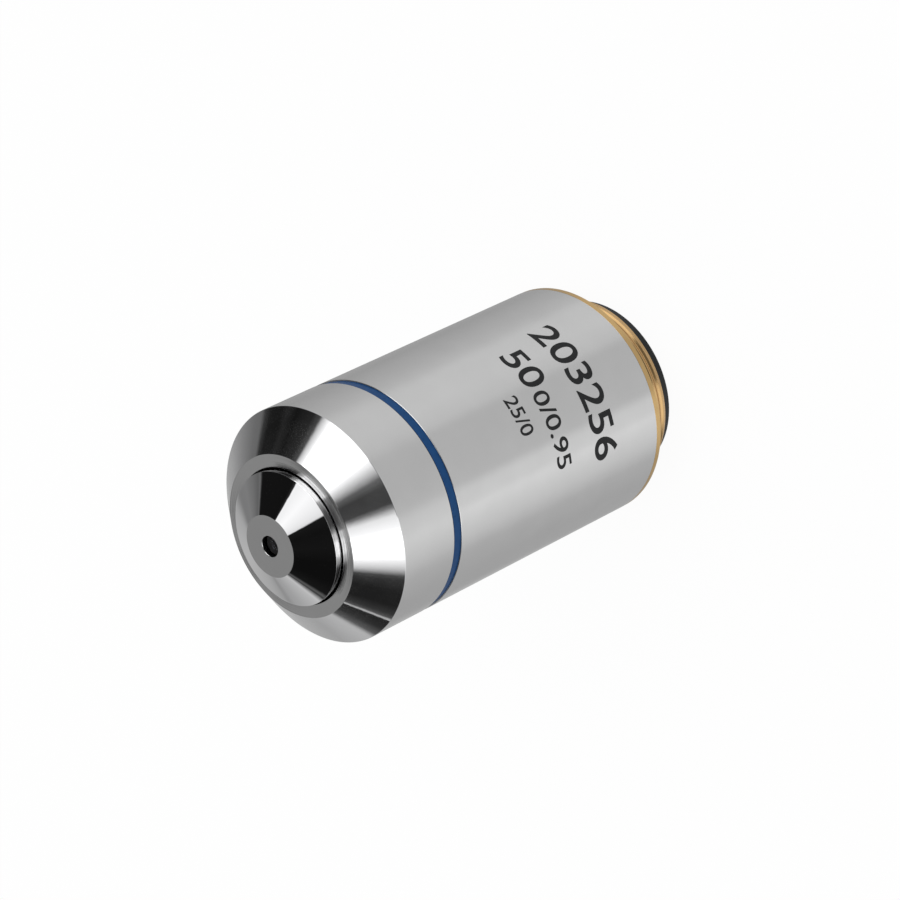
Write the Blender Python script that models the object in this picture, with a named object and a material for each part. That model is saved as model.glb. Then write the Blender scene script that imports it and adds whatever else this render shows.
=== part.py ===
"""Infinity-corrected dry microscope objective with a spring-loaded nose.

The objective stands on its threaded end with its nose up. Z is the optical axis, and the origin is the
centre of the rear end face. All sizes are in metres.

The fixed half is a brass mount with its screw thread, a chromed outer sleeve, an inlaid colour band, a
chromed front shroud and a black rear stop. A lens barrel slides inside it. The barrel carries the polished
nose and a stack of lens cells, and a coil spring presses it forward on its parfocal shim.
"""

import math

import bmesh
import bpy
from mathutils import Matrix, Vector

# Standard interface of the objective: screw thread, parfocal length and free working distance
THREAD_RADIUS = 0.01016
THREAD_LENGTH = 0.00344
THREAD_CHAMFER = 0.00025
RELIEF_WIDTH = 0.0006
RELIEF_DEPTH = 0.0005
SEAT_FACE_RADIUS = 0.0104
SEAT_FACE_RELIEF = 0.0001
PARFOCAL_LENGTH = 0.045
WORKING_DISTANCE = 0.0012

# Clearances: between pieces that are screwed or pushed together, and round the piece that slides
SEAT_GAP = 0.00005
RUNNING_GAP = 0.00005
NOSE_GAP = 0.00015
CEMENT_GAP = 0.00003

# Outer shells
BARREL_RADIUS = 0.01225
SLEEVE_WALL = 0.0012
SLEEVE_CHAMFER = 0.00012
SKIRT_WALL = 0.00075
SKIRT_LENGTH = 0.0064
FRONT_LAND = 0.00684
CONE_HEIGHT = 0.00324
RING_FACE_WIDTH = 0.00135
RING_EDGE_BREAK = 0.00012
NOSE_PROTRUSION = 0.00281
STOP_DEPTH = 0.0043
BAND_WIDTH = 0.00095
BAND_DEPTH = 0.00015

# Brass mount
FLANGE_STEP = 0.00002
FLANGE_THICKNESS = 0.00055
FLANGE_CHAMFER = 0.00008
PILOT_LENGTH = 0.0015
TUBE_WALL = 0.0012
STUB_WALL = 0.0022
SPRING_SEAT_DEPTH = 0.0004

# Black rear stop
RIM_RADIUS = 0.0093
RIM_CHAMFER = 0.0001
RIM_THICKNESS = 0.00135
SPIGOT_LENGTH = 0.0025
STOP_APERTURE_RADIUS = 0.0045
STOP_FUNNEL_RADIUS = 0.0062
STOP_FUNNEL_DEPTH = 0.0018
STOP_SLOT_WIDTH = 0.001
STOP_SLOT_DEPTH = 0.0004

# Sliding lens barrel and its travel
TRAVEL = 0.002
LENS_BARREL_WALL = 0.00197
BARREL_CHAMFER = 0.0003
SHIM_THICKNESS = 0.00025
SHIM_WIDTH = 0.0015
SPRING_LENGTH = 0.010
SPRING_WIRE_RADIUS = 0.0005
SPRING_ACTIVE_TURNS = 3

# Polished nose
NOSE_EDGE_HEIGHT = 0.00072
NOSE_EDGE_BREAK = 0.0002
TIP_RADIUS = 0.00321
TIP_HOLE_RADIUS = 0.00108
TIP_HOLE_BREAK = 0.0001
TIP_LIP = 0.0003
FRONT_SEAT_DEPTH = 0.0008
NOSE_FRONT_DEPTH = 0.0031
NOSE_WALL = 0.0015

# Lens cells
CELL_WALL = 0.0009
CELL_LIP_WIDTH = 0.0005
CELL_LIP_HEIGHT = 0.0005
CELL_MARGIN = 0.0001
SPACER_WALL = 0.001
STOP_RING_THICKNESS = 0.0005
STOP_RING_WIDTH = 0.0042
REAR_CELL_WALL = 0.0024
RETAINER_THICKNESS = 0.0012
RETAINER_WIDTH = 0.0027
RETAINER_RECESS = 0.0002
RETAINER_SLOT_WIDTH = 0.0009
RETAINER_SLOT_DEPTH = 0.0005

# Cemented groups: the edge thickness of each element, and the bulge of each spherical face towards the
# nose, both from the rear up
MENISCUS_EDGES = (0.0010,)
MENISCUS_BULGES = (-0.0013, -0.0005)
FRONT_DOUBLET_EDGES = (0.0010, 0.0012)
FRONT_DOUBLET_BULGES = (-0.0008, 0.0006, 0.0001)
MIDDLE_DOUBLET_EDGES = (0.0015, 0.0013)
MIDDLE_DOUBLET_BULGES = (-0.0003, -0.0010, 0.0009)
TRIPLET_EDGES = (0.0011, 0.0022, 0.0010)
TRIPLET_BULGES = (-0.0005, 0.0008, -0.0007, 0.0007)
REAR_DOUBLET_EDGES = (0.0022, 0.0012)
REAR_DOUBLET_BULGES = (0.0009, -0.0004, 0.0005)

# Front lens: radius, edge thickness and the bulge of its rear face
FRONT_LENS_RADIUS = 0.00185
FRONT_LENS_EDGE = 0.0006
FRONT_LENS_BULGE = 0.0012

# Small screws
GUIDE_SCREW_RADIUS = 0.0008
GUIDE_SCREW_HEIGHT = 0.0185
GUIDE_GROOVE_DEPTH = 0.001
CENTRING_SCREW_RADIUS = 0.0007
CENTRING_SCREW_COUNT = 3
SCREW_POINT_HEIGHT = 0.0003
SCREW_SLOT_WIDTH = 0.00035
SCREW_SLOT_DEPTH = 0.0004

# Facets round a full turn
OUTER_SIDES = 60
INNER_SIDES = 24
SCREW_SIDES = 12
WIRE_SIDES = 6
TURN_STEPS = 18
LENS_RINGS = 3
BORE_SIDES = 16

# Radii from the outside in
FLANGE_RADIUS = BARREL_RADIUS - FLANGE_STEP
SLEEVE_BORE = BARREL_RADIUS - SLEEVE_WALL
SKIRT_RADIUS = SLEEVE_BORE - SEAT_GAP
SKIRT_BORE = SKIRT_RADIUS - SKIRT_WALL
TUBE_RADIUS = SKIRT_BORE - SEAT_GAP
TUBE_BORE = TUBE_RADIUS - TUBE_WALL
STUB_BORE = THREAD_RADIUS - STUB_WALL
LENS_BARREL_RADIUS = TUBE_BORE - RUNNING_GAP
LENS_BARREL_BORE = LENS_BARREL_RADIUS - LENS_BARREL_WALL
NOSE_RADIUS = LENS_BARREL_BORE - SEAT_GAP
NOSE_BORE = NOSE_RADIUS - NOSE_WALL
RING_BORE = NOSE_RADIUS + NOSE_GAP
RING_RADIUS = RING_BORE + RING_FACE_WIDTH

# Heights from the rear end face up
SHOULDER_Z = RIM_THICKNESS + SEAT_GAP + THREAD_LENGTH
FLANGE_TOP_Z = SHOULDER_Z + FLANGE_THICKNESS
TIP_Z = SHOULDER_Z + PARFOCAL_LENGTH - WORKING_DISTANCE
RING_FACE_Z = TIP_Z - NOSE_PROTRUSION
CONE_EDGE_Z = RING_FACE_Z - CONE_HEIGHT
LAND_Z = CONE_EDGE_Z - FRONT_LAND
STOP_Z = RING_FACE_Z - STOP_DEPTH
SPRING_Z = FLANGE_TOP_Z + SPRING_SEAT_DEPTH + SEAT_GAP
LENS_BARREL_Z = SPRING_Z + SPRING_LENGTH + SEAT_GAP
LENS_BARREL_TOP_Z = STOP_Z - SHIM_THICKNESS - 2 * SEAT_GAP

# Finishes: colour, roughness and metallic value
SATIN_CHROME = ("satin_chrome", (0.62, 0.62, 0.62), 0.32, 1.0)
POLISHED_CHROME = ("polished_chrome", (0.72, 0.72, 0.73), 0.06, 1.0)
TURNED_BRASS = ("turned_brass", (0.72, 0.50, 0.24), 0.28, 1.0)
BLACK_ANODISED = ("black_anodised", (0.02, 0.02, 0.022), 0.45, 0.0)
BLUE_ENAMEL = ("blue_enamel", (0.02, 0.10, 0.32), 0.30, 0.0)
SPRING_STEEL = ("spring_steel", (0.45, 0.45, 0.46), 0.30, 1.0)
SCREW_STEEL = ("screw_steel", (0.40, 0.40, 0.42), 0.35, 1.0)
COATED_GLASS = ("coated_glass", (0.80, 0.86, 0.90), 0.02, 0.0)


def clear_scene():
    """Removes whatever the file held before."""
    for old in list(bpy.data.objects):
        bpy.data.objects.remove(old, do_unlink=True)


def finish_material(node_name, finish):
    """A Principled material of its own for one piece."""
    kind, colour, roughness, metallic = finish
    material = bpy.data.materials.new(f"{node_name}_{kind}")
    material.use_nodes = True
    shader = material.node_tree.nodes["Principled BSDF"]
    shader.inputs["Base Color"].default_value = (*colour, 1.0)
    shader.inputs["Roughness"].default_value = roughness
    shader.inputs["Metallic"].default_value = metallic
    if kind == "coated_glass":
        shader.inputs["Transmission Weight"].default_value = 1.0
    material.diffuse_color = (*colour, 1.0)
    return material


def object_from(bm, name, finish, z=0.0, parent=None):
    """Closes a bmesh into a named object that is shaded smooth between its sharp edges."""
    bmesh.ops.recalc_face_normals(bm, faces=bm.faces)
    mesh = bpy.data.meshes.new(name)
    bm.to_mesh(mesh)
    bm.free()
    mesh.shade_smooth()
    mesh.set_sharp_from_angle(angle=math.radians(30))
    piece = bpy.data.objects.new(name, mesh)
    bpy.context.scene.collection.objects.link(piece)
    if finish:
        mesh.materials.append(finish_material(name, finish))
    piece.location.z = z
    piece.parent = parent
    return piece


def turned(name, outline, sides, finish, z=0.0, parent=None):
    """A lathe-turned piece: an outline of (radius, height) points spun round Z.

    An outline that starts and ends on the axis stays open there. Any other outline is a closed section.
    """
    bm = bmesh.new()
    points = [bm.verts.new((radius, 0.0, height)) for radius, height in outline]
    pairs = list(zip(points, points[1:]))
    if outline[0][0] > 0.0:
        pairs.append((points[-1], points[0]))
    edges = [bm.edges.new(pair) for pair in pairs]
    bmesh.ops.spin(
        bm,
        geom=points + edges,
        cent=(0.0, 0.0, 0.0),
        axis=(0.0, 0.0, 1.0),
        angle=math.tau,
        steps=sides,
        use_merge=True,
    )
    bmesh.ops.remove_doubles(bm, verts=bm.verts, dist=1e-7)
    return object_from(bm, name, finish, z, parent)


def cut(piece, cutters):
    """Takes hidden cutter objects out of a piece, which all follow its own frame."""
    for cutter in cutters:
        cutter.hide_render = True
        cutter.display_type = "WIRE"
        modifier = piece.modifiers.new(cutter.name, "BOOLEAN")
        modifier.operation = "DIFFERENCE"
        modifier.solver = "EXACT"
        modifier.object = cutter


def radial(angle):
    """Turns +Z to a radius at this angle round the optical axis."""
    return Matrix.Rotation(angle, 4, "Z") @ Matrix.Rotation(math.radians(90), 4, "Y")


def radial_bore(name, radius, inner, outer, angle, z):
    """A round cutter along a radius, from one distance off the axis to another."""
    bm = bmesh.new()
    bmesh.ops.create_cone(
        bm, cap_ends=True, segments=BORE_SIDES, radius1=radius, radius2=radius, depth=outer - inner
    )
    middle = Matrix.Translation((0.0, 0.0, (inner + outer) / 2))
    bmesh.ops.transform(bm, matrix=radial(angle) @ middle, verts=bm.verts)
    return object_from(bm, name, None, z)


def box_cutter(name, size, centre):
    """A block cutter of this size round its centre."""
    bm = bmesh.new()
    bmesh.ops.create_cube(bm, size=1.0)
    bmesh.ops.scale(bm, vec=size, verts=bm.verts)
    bmesh.ops.translate(bm, vec=centre, verts=bm.verts)
    return object_from(bm, name, None)


def cut_spanner_slot(piece, radius, width, depth, z):
    """Cuts a slot along X across the rear face of a ring, where a spanner turns it home."""
    cut(piece, [box_cutter(f"{piece.name}_slot_cutter", (4 * radius, width, 2 * depth), (0, 0, z))])


def set_screw(name, radius, inner, outer, angle, z, parent=None):
    """A slotted set screw on a radius: a cone point inwards and a driver slot outwards."""
    length = outer - inner
    outline = [
        (0.0, 0.0),
        (radius / 2, 0.0),
        (radius, SCREW_POINT_HEIGHT),
        (radius, length),
        (0.0, length),
    ]
    screw = turned(name, outline, SCREW_SIDES, SCREW_STEEL, parent=parent)
    place = Matrix.Translation((0.0, 0.0, z)) @ radial(angle) @ Matrix.Translation((0, 0, inner))
    screw.matrix_local = place
    slot = box_cutter(
        f"{name}_slot_cutter",
        (4 * radius, SCREW_SLOT_WIDTH, 2 * SCREW_SLOT_DEPTH),
        (0.0, 0.0, length),
    )
    slot.parent = parent
    slot.matrix_local = place
    cut(screw, [slot])
    return screw


def cap_height(radius, edge_radius, bulge):
    """Height of a spherical cap over its edge plane, where bulge is its height on the axis."""
    if bulge == 0.0:
        return 0.0
    sphere = (edge_radius**2 + bulge**2) / (2 * abs(bulge))
    height = math.sqrt(sphere**2 - radius**2) - (sphere - abs(bulge))
    return math.copysign(height, bulge)


def lens_element(name, edge_radius, low, low_bulge, high, high_bulge, z, parent):
    """One lens: two spherical faces between edge heights low and high. A positive bulge rises to +Z."""
    steps = [edge_radius * k / LENS_RINGS for k in range(LENS_RINGS + 1)]
    lower = [(r, low + cap_height(r, edge_radius, low_bulge)) for r in steps]
    upper = [(r, high + cap_height(r, edge_radius, high_bulge)) for r in reversed(steps)]
    return turned(name, lower + upper, INNER_SIDES, COATED_GLASS, z, parent)


class LensCell:
    """A brass ring with a lip at its rear, and the cemented lens group that rests on the lip.

    edges are the edge thicknesses of the elements from the rear up, and bulges are the spherical faces
    from the rear up, one more than there are elements.
    """

    def __init__(self, name, outer_radius, wall, edges, bulges):
        self.name = name
        self.outer_radius = outer_radius
        self.seat_radius = outer_radius - wall
        self.lens_radius = self.seat_radius - SEAT_GAP
        self.lip_radius = self.lens_radius - CELL_LIP_WIDTH
        self.lip_height = CELL_LIP_HEIGHT + max(0.0, -bulges[0])
        self.edges = edges
        self.bulges = bulges
        sunk = min(0.0, cap_height(self.lip_radius, self.lens_radius, bulges[0]))
        self.lens_floor = self.lip_height + SEAT_GAP - sunk
        glass = sum(edges) + CEMENT_GAP * (len(edges) - 1)
        self.height = self.lens_floor + glass + max(0.0, bulges[-1]) + CELL_MARGIN

    def build(self, z, parent):
        outline = [
            (self.lip_radius, 0.0),
            (self.outer_radius, 0.0),
            (self.outer_radius, self.height),
            (self.seat_radius, self.height),
            (self.seat_radius, self.lip_height),
            (self.lip_radius, self.lip_height),
        ]
        turned(self.name, outline, INNER_SIDES, TURNED_BRASS, z, parent)
        low = self.lens_floor
        for number, edge in enumerate(self.edges):
            lens_element(
                f"{self.name}_lens_{number + 1}",
                self.lens_radius,
                low,
                self.bulges[number],
                low + edge,
                self.bulges[number + 1],
                z,
                parent,
            )
            low += edge + CEMENT_GAP


def ring(name, inner, outer, height, sides, finish, z, parent=None):
    """A plain flat or tubular ring."""
    outline = [(inner, 0.0), (outer, 0.0), (outer, height), (inner, height)]
    return turned(name, outline, sides, finish, z, parent)


def build_mount(screw_angles, screw_z):
    """The brass mount: threaded stub, flange and guide tube in one piece, with its screw holes."""
    root = THREAD_RADIUS - RELIEF_DEPTH
    tube_top = STOP_Z - SEAT_GAP - SHOULDER_Z
    pilot_top = FLANGE_THICKNESS + PILOT_LENGTH
    spring_seat = FLANGE_THICKNESS + SPRING_SEAT_DEPTH
    outline = [
        (STUB_BORE, -THREAD_LENGTH),
        (THREAD_RADIUS - THREAD_CHAMFER, -THREAD_LENGTH),
        (THREAD_RADIUS, THREAD_CHAMFER - THREAD_LENGTH),
        (THREAD_RADIUS, -RELIEF_WIDTH),
        (root, -RELIEF_WIDTH),
        (root, SEAT_FACE_RELIEF),
        (SEAT_FACE_RADIUS, SEAT_FACE_RELIEF),
        (SEAT_FACE_RADIUS, 0.0),
        (FLANGE_RADIUS - FLANGE_CHAMFER, 0.0),
        (FLANGE_RADIUS, FLANGE_CHAMFER),
        (FLANGE_RADIUS, FLANGE_THICKNESS),
        (SKIRT_RADIUS, FLANGE_THICKNESS),
        (SKIRT_RADIUS, pilot_top),
        (TUBE_RADIUS, pilot_top),
        (TUBE_RADIUS, tube_top),
        (TUBE_BORE, tube_top),
        (TUBE_BORE, spring_seat),
        (STUB_BORE, spring_seat),
    ]
    mount = turned("mount_body", outline, OUTER_SIDES, TURNED_BRASS, SHOULDER_Z)
    inner, outer = TUBE_BORE - TUBE_WALL, TUBE_RADIUS + TUBE_WALL
    guide_hole = GUIDE_SCREW_RADIUS + SEAT_GAP
    window = CENTRING_SCREW_RADIUS + SEAT_GAP
    cutters = [
        radial_bore("guide_hole_cutter", guide_hole, inner, outer, 0.0, GUIDE_SCREW_HEIGHT)
    ]
    for number, angle in enumerate(screw_angles):
        name = f"window_cutter_{number + 1}"
        cutters.append(radial_bore(name, window, inner, outer, angle, screw_z))
    cut(mount, cutters)


def build_shells():
    """The rear stop, outer sleeve, colour band and front shroud."""
    spigot_top = RIM_THICKNESS + SPIGOT_LENGTH
    rear_stop = [
        (STOP_FUNNEL_RADIUS, 0.0),
        (RIM_RADIUS - RIM_CHAMFER, 0.0),
        (RIM_RADIUS, RIM_CHAMFER),
        (RIM_RADIUS, RIM_THICKNESS),
        (STUB_BORE - SEAT_GAP, RIM_THICKNESS),
        (STUB_BORE - SEAT_GAP, spigot_top),
        (STOP_APERTURE_RADIUS, spigot_top),
        (STOP_APERTURE_RADIUS, STOP_FUNNEL_DEPTH),
    ]
    stop = turned("rear_stop", rear_stop, OUTER_SIDES, BLACK_ANODISED)
    cut_spanner_slot(stop, RIM_RADIUS, STOP_SLOT_WIDTH, STOP_SLOT_DEPTH, 0.0)

    sleeve_z = FLANGE_TOP_Z + SEAT_GAP
    sleeve_length = LAND_Z - BAND_WIDTH - 2 * SEAT_GAP - sleeve_z
    sleeve = [
        (SLEEVE_BORE, 0.0),
        (BARREL_RADIUS - SLEEVE_CHAMFER, 0.0),
        (BARREL_RADIUS, SLEEVE_CHAMFER),
        (BARREL_RADIUS, sleeve_length),
        (SLEEVE_BORE, sleeve_length),
    ]
    turned("outer_sleeve", sleeve, OUTER_SIDES, SATIN_CHROME, sleeve_z)

    band_z = LAND_Z - SEAT_GAP - BAND_WIDTH
    band_radius = BARREL_RADIUS - BAND_DEPTH
    ring("colour_band", SLEEVE_BORE, band_radius, BAND_WIDTH, OUTER_SIDES, BLUE_ENAMEL, band_z)

    face = FRONT_LAND + CONE_HEIGHT
    shoulder = STOP_Z - LAND_Z
    shroud = [
        (SKIRT_BORE, -SKIRT_LENGTH),
        (SKIRT_RADIUS, -SKIRT_LENGTH),
        (SKIRT_RADIUS, 0.0),
        (BARREL_RADIUS, 0.0),
        (BARREL_RADIUS, FRONT_LAND),
        (RING_RADIUS, face),
        (RING_BORE + RING_EDGE_BREAK, face),
        (RING_BORE, face - RING_EDGE_BREAK),
        (RING_BORE, shoulder),
        (SKIRT_BORE, shoulder),
    ]
    turned("front_shroud", shroud, OUTER_SIDES, POLISHED_CHROME, LAND_Z)

    shim_z = LENS_BARREL_TOP_Z + SEAT_GAP
    shim_outer = LENS_BARREL_RADIUS
    ring(
        "parfocal_shim",
        shim_outer - SHIM_WIDTH,
        shim_outer,
        SHIM_THICKNESS,
        OUTER_SIDES,
        SPRING_STEEL,
        shim_z,
    )


def build_spring():
    """The return spring: a round wire on a helix, with its end turns closed up to the wire's width."""
    mean_radius = TUBE_BORE - RUNNING_GAP - SPRING_WIRE_RADIUS - 2 * SEAT_GAP
    closed_pitch = 2 * SPRING_WIRE_RADIUS + SEAT_GAP
    rise = SPRING_LENGTH - 2 * SPRING_WIRE_RADIUS
    active_pitch = (rise - 2 * closed_pitch) / SPRING_ACTIVE_TURNS
    turns = SPRING_ACTIVE_TURNS + 2

    def height(turn):
        """Rise of the wire's centre after this many turns."""
        low = min(turn, 1.0) * closed_pitch
        middle = min(max(turn - 1.0, 0.0), float(SPRING_ACTIVE_TURNS)) * active_pitch
        high = max(turn - 1.0 - SPRING_ACTIVE_TURNS, 0.0) * closed_pitch
        return SPRING_WIRE_RADIUS + low + middle + high

    wire = bpy.data.curves.new("return_spring", "CURVE")
    wire.dimensions = "3D"
    wire.bevel_depth = SPRING_WIRE_RADIUS
    wire.bevel_resolution = WIRE_SIDES // 2 - 2
    wire.use_fill_caps = True
    count = turns * TURN_STEPS + 1
    spline = wire.splines.new("POLY")
    spline.points.add(count - 1)
    for index, point in enumerate(spline.points):
        turn = index / TURN_STEPS
        angle = math.tau * turn
        across = Vector((math.cos(angle), math.sin(angle))) * mean_radius
        point.co = (across.x, across.y, height(turn), 1.0)
    spring = bpy.data.objects.new("return_spring", wire)
    wire.materials.append(finish_material("return_spring", SPRING_STEEL))
    bpy.context.scene.collection.objects.link(spring)
    spring.location.z = SPRING_Z


def build_lens_barrel(screw_angles, screw_z, group):
    """The sliding tube, with a keyway for the guide screw and tapped holes for the centring screws."""
    length = LENS_BARREL_TOP_Z - LENS_BARREL_Z
    outline = [
        (LENS_BARREL_BORE, 0.0),
        (LENS_BARREL_RADIUS, 0.0),
        (LENS_BARREL_RADIUS, length - BARREL_CHAMFER),
        (LENS_BARREL_RADIUS - BARREL_CHAMFER, length),
        (LENS_BARREL_BORE, length),
    ]
    barrel = turned("lens_barrel", outline, OUTER_SIDES, TURNED_BRASS, LENS_BARREL_Z, group)
    half_width = GUIDE_SCREW_RADIUS + RUNNING_GAP
    low = GUIDE_SCREW_HEIGHT - half_width
    high = GUIDE_SCREW_HEIGHT + half_width + TRAVEL
    depth = 2 * GUIDE_GROOVE_DEPTH
    keyway = box_cutter(
        "keyway_cutter",
        (depth, 2 * half_width, high - low),
        (LENS_BARREL_RADIUS, 0.0, (low + high) / 2),
    )
    cutters = [keyway]
    inner = LENS_BARREL_BORE - LENS_BARREL_WALL
    outer = LENS_BARREL_RADIUS + LENS_BARREL_WALL
    hole = CENTRING_SCREW_RADIUS + SEAT_GAP
    for number, angle in enumerate(screw_angles):
        name = f"centring_hole_cutter_{number + 1}"
        cutters.append(radial_bore(name, hole, inner, outer, angle, screw_z))
    cut(barrel, cutters)


def build_nose(rear_z, group):
    """The polished nose: a cup with a conical front, the seat of the front lens and a bore for two cells."""
    length = TIP_Z - rear_z
    edge = RING_FACE_Z + NOSE_EDGE_HEIGHT - rear_z
    seat_radius = FRONT_LENS_RADIUS + SEAT_GAP
    seat_top = length - TIP_LIP
    bore_top = length - NOSE_FRONT_DEPTH
    outline = [
        (NOSE_BORE, 0.0),
        (NOSE_RADIUS, 0.0),
        (NOSE_RADIUS, edge - NOSE_EDGE_BREAK),
        (NOSE_RADIUS - NOSE_EDGE_BREAK, edge),
        (TIP_RADIUS, length),
        (TIP_HOLE_RADIUS + TIP_HOLE_BREAK, length),
        (TIP_HOLE_RADIUS, length - TIP_HOLE_BREAK),
        (TIP_HOLE_RADIUS, seat_top),
        (seat_radius, seat_top),
        (seat_radius, seat_top - FRONT_SEAT_DEPTH),
        (NOSE_BORE, bore_top),
    ]
    turned("nose_cone", outline, OUTER_SIDES, POLISHED_CHROME, rear_z, group)
    edge_high = seat_top - SEAT_GAP
    edge_low = edge_high - FRONT_LENS_EDGE
    lens_element(
        "front_lens",
        FRONT_LENS_RADIUS,
        edge_low,
        -FRONT_LENS_BULGE,
        edge_high,
        0.0,
        rear_z,
        group,
    )


def build_retainer(z, group):
    """The slotted ring that locks the lens stack from the rear."""
    outer = LENS_BARREL_BORE - SEAT_GAP
    retainer = ring(
        "stack_retainer",
        outer - RETAINER_WIDTH,
        outer,
        RETAINER_THICKNESS,
        INNER_SIDES,
        TURNED_BRASS,
        z,
        group,
    )
    cut_spanner_slot(retainer, outer, RETAINER_SLOT_WIDTH, RETAINER_SLOT_DEPTH, z)


def build_lens_group():
    """Everything that slides: nose, lens barrel and the stack of cells, from the tip down."""
    group = bpy.data.objects.new("lens_group_slide", None)
    bpy.context.scene.collection.objects.link(group)
    cell_radius = LENS_BARREL_BORE - SEAT_GAP
    nose_cell_radius = NOSE_BORE - SEAT_GAP
    meniscus = LensCell(
        "meniscus_cell", nose_cell_radius, CELL_WALL, MENISCUS_EDGES, MENISCUS_BULGES
    )
    front_pair = LensCell(
        "front_doublet_cell",
        nose_cell_radius,
        CELL_WALL,
        FRONT_DOUBLET_EDGES,
        FRONT_DOUBLET_BULGES,
    )
    middle_pair = LensCell(
        "middle_doublet_cell",
        cell_radius,
        CELL_WALL,
        MIDDLE_DOUBLET_EDGES,
        MIDDLE_DOUBLET_BULGES,
    )
    triplet = LensCell("triplet_cell", cell_radius, CELL_WALL, TRIPLET_EDGES, TRIPLET_BULGES)
    rear_pair = LensCell(
        "rear_doublet_cell",
        cell_radius,
        REAR_CELL_WALL,
        REAR_DOUBLET_EDGES,
        REAR_DOUBLET_BULGES,
    )

    z = TIP_Z - NOSE_FRONT_DEPTH - SEAT_GAP - meniscus.height
    meniscus.build(z, group)
    z -= SEAT_GAP + front_pair.height
    front_pair.build(z, group)
    nose_rear_z = z
    build_nose(nose_rear_z, group)

    z = nose_rear_z - SEAT_GAP - middle_pair.height
    middle_pair.build(z, group)
    screw_z = z + middle_pair.height / 2
    z -= SEAT_GAP + triplet.height
    triplet.build(z, group)
    z -= SEAT_GAP + STOP_RING_THICKNESS
    ring(
        "aperture_stop",
        cell_radius - STOP_RING_WIDTH,
        cell_radius,
        STOP_RING_THICKNESS,
        INNER_SIDES,
        BLACK_ANODISED,
        z,
        group,
    )
    spacer_top = z - SEAT_GAP

    retainer_z = LENS_BARREL_Z + RETAINER_RECESS
    build_retainer(retainer_z, group)
    rear_z = retainer_z + RETAINER_THICKNESS + SEAT_GAP
    rear_pair.build(rear_z, group)
    spacer_z = rear_z + rear_pair.height + SEAT_GAP
    ring(
        "spacer_tube",
        cell_radius - SPACER_WALL,
        cell_radius,
        spacer_top - spacer_z,
        INNER_SIDES,
        BLACK_ANODISED,
        spacer_z,
        group,
    )

    screw_angles = [
        math.tau * (number + 0.5) / CENTRING_SCREW_COUNT for number in range(CENTRING_SCREW_COUNT)
    ]
    for number, angle in enumerate(screw_angles):
        set_screw(
            f"centring_screw_{number + 1}",
            CENTRING_SCREW_RADIUS,
            LENS_BARREL_BORE,
            LENS_BARREL_RADIUS - SEAT_GAP,
            angle,
            screw_z,
            group,
        )
    build_lens_barrel(screw_angles, screw_z, group)
    return screw_angles, screw_z


def main():
    clear_scene()
    screw_angles, screw_z = build_lens_group()
    build_mount(screw_angles, screw_z)
    build_shells()
    build_spring()
    set_screw(
        "guide_screw",
        GUIDE_SCREW_RADIUS,
        LENS_BARREL_RADIUS - GUIDE_GROOVE_DEPTH + RUNNING_GAP,
        TUBE_RADIUS,
        0.0,
        GUIDE_SCREW_HEIGHT,
    )


main()
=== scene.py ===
"""Looks of the microscope objective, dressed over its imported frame.

The objective stands on its threaded end with its nose up. The visible shells are turned surfaces
with their edges broken as a lathe leaves them. Lengths are in millimetres until a mesh is made.
"""

import math

import bmesh
import bpy
import numpy as np
from mathutils import Matrix, Vector


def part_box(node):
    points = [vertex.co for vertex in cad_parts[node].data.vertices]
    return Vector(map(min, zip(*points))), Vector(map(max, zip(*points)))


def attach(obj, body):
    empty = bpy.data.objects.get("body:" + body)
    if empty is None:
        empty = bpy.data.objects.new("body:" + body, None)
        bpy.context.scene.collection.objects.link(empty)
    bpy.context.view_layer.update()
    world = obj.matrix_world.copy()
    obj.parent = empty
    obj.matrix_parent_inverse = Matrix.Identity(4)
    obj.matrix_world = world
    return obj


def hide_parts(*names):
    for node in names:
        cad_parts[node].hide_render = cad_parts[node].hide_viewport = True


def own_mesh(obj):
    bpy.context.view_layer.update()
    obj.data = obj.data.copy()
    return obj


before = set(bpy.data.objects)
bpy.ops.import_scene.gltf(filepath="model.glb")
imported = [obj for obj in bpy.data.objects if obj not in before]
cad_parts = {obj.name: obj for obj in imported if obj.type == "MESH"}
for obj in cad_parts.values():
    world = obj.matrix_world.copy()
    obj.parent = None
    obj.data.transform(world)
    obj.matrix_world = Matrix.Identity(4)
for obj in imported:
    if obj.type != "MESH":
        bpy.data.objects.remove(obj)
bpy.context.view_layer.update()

MM = 0.001

# How finely round pieces, lenses and spring wire are cut into faces, and a broken edge into steps
TURN_FACETS = 256
THREAD_FACETS = 360
LENS_FACETS = 96
WIRE_FACETS = 16
COIL_STEPS = 48
EDGE_STEPS = 5

# The photograph's camera: a 152 mm lens on a 36 mm frame, 41 degrees above the front and rolled
# over. The last row is the way from the camera to the middle of the shoulder, in millimetres.
CAMERA_LENS = 151.99
SENSOR_WIDTH = 36
VIEW_RIGHT = Vector((-0.4357, -0.58885, -0.68075))
VIEW_DOWN = Vector((-0.9001, 0.28504, 0.32952))
VIEW_FORWARD = Vector((0.0, 0.7563, -0.6542))
CAMERA_TO_SHOULDER = Vector((-13.190, 7.289, 369.33))

# Screw thread: 36 to the inch, with round crests and roots, drawn shallower than cut
THREAD_PITCH = 25.4 / 36
THREAD_RADIUS = 10.16
THREAD_DEPTH = 0.17
THREAD_LENGTH = 3.44
LEAD_CHAMFER = 0.25
RUN_OUT_LENGTH = 0.2
RELIEF_WIDTH = 0.6
RELIEF_DEPTH = 0.5

# The front, from the tip down to the band
TIP_RADIUS = 3.21
TIP_HOLE_RADIUS = 1.08
RING_RADIUS = 8.43
RING_BORE = 7.08
CONE_HEIGHT = 3.24
LAND_LENGTH = 6.84
STOP_DEPTH = 4.3
BAND_GAP = 0.14
BAND_WALL = 1.05

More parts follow.
